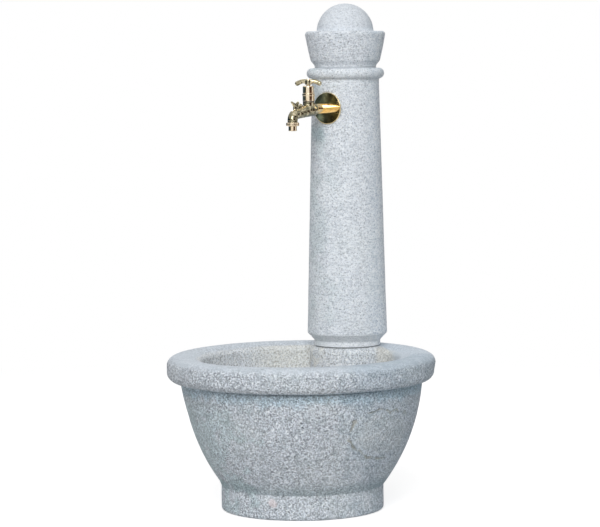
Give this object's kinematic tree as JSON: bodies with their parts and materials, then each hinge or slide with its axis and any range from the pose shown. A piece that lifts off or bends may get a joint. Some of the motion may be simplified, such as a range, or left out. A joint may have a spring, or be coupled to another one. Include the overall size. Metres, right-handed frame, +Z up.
{
  "type": "garden fountain",
  "caption": "Round granite basin on a foot ring with a tapering column, cup and ball at the back of its rim and a brass garden tap that pours into the basin",
  "frame": {"origin": "middle of the foot ring's underside, on the ground, on the basin's axis", "axes": "+Z up; the tap points along -Y over the basin and the column stands at +Y; +X is to the right seen from the tap's side"},
  "size_m": [0.53, 0.53, 0.9995],
  "materials": {
    "granite": "bush-hammered, fine grey and white grain",
    "mortar": "matt",
    "brass": "polished",
    "stainless_steel": "brushed",
    "copper": "plain drawn tube",
    "rubber": "matt"
  },
  "bodies": {
    "fountain": {"basin": "granite", "column_bed": "mortar", "column_dowels": "stainless_steel", "column": "granite", "cap_bed": "mortar", "cap_dowel": "stainless_steel", "capstone": "granite", "pipe_bushes": "rubber", "riser_pipe": "copper", "inlet_fitting": "brass", "inlet_nut": "brass", "inlet_ferrule": "brass", "column_elbow": "brass", "elbow_nut": "brass", "elbow_ferrule": "brass", "tap_extension": "brass", "rosette": "brass", "tap_body": "brass", "headwork_seal": "rubber", "headwork": "brass", "gland_packing": "rubber", "gland_nut": "brass", "outlet_washer": "rubber", "outlet_nozzle": "brass", "outlet_ring_nut": "brass", "drain_flange": "stainless_steel", "drain_seal": "rubber", "drain_strainer": "stainless_steel", "strainer_screw": "stainless_steel", "drain_gasket": "rubber", "drain_nut": "stainless_steel"},
    "valve": {"jumper_valve": "brass", "valve_washer": "rubber"},
    "handle": {"spindle": "brass", "tap_handle": "brass", "handle_screw": "brass"}
  },
  "joints": [
    {"name": "valve_lift", "type": "slide", "parent": "fountain", "child": "valve", "axis": [0, 0, 1], "range_m": [0, 0.00375]},
    {"name": "handle_turn", "type": "hinge", "parent": "valve", "child": "handle", "pos_m": [0, 0.03697, 0.84], "axis": [0, 0, 1], "range_deg": [0, 540]}
  ],
  "couplings": [
    {"joint": "handle_turn", "follows": "valve_lift", "rad_per_m": 2513.3}
  ]
}
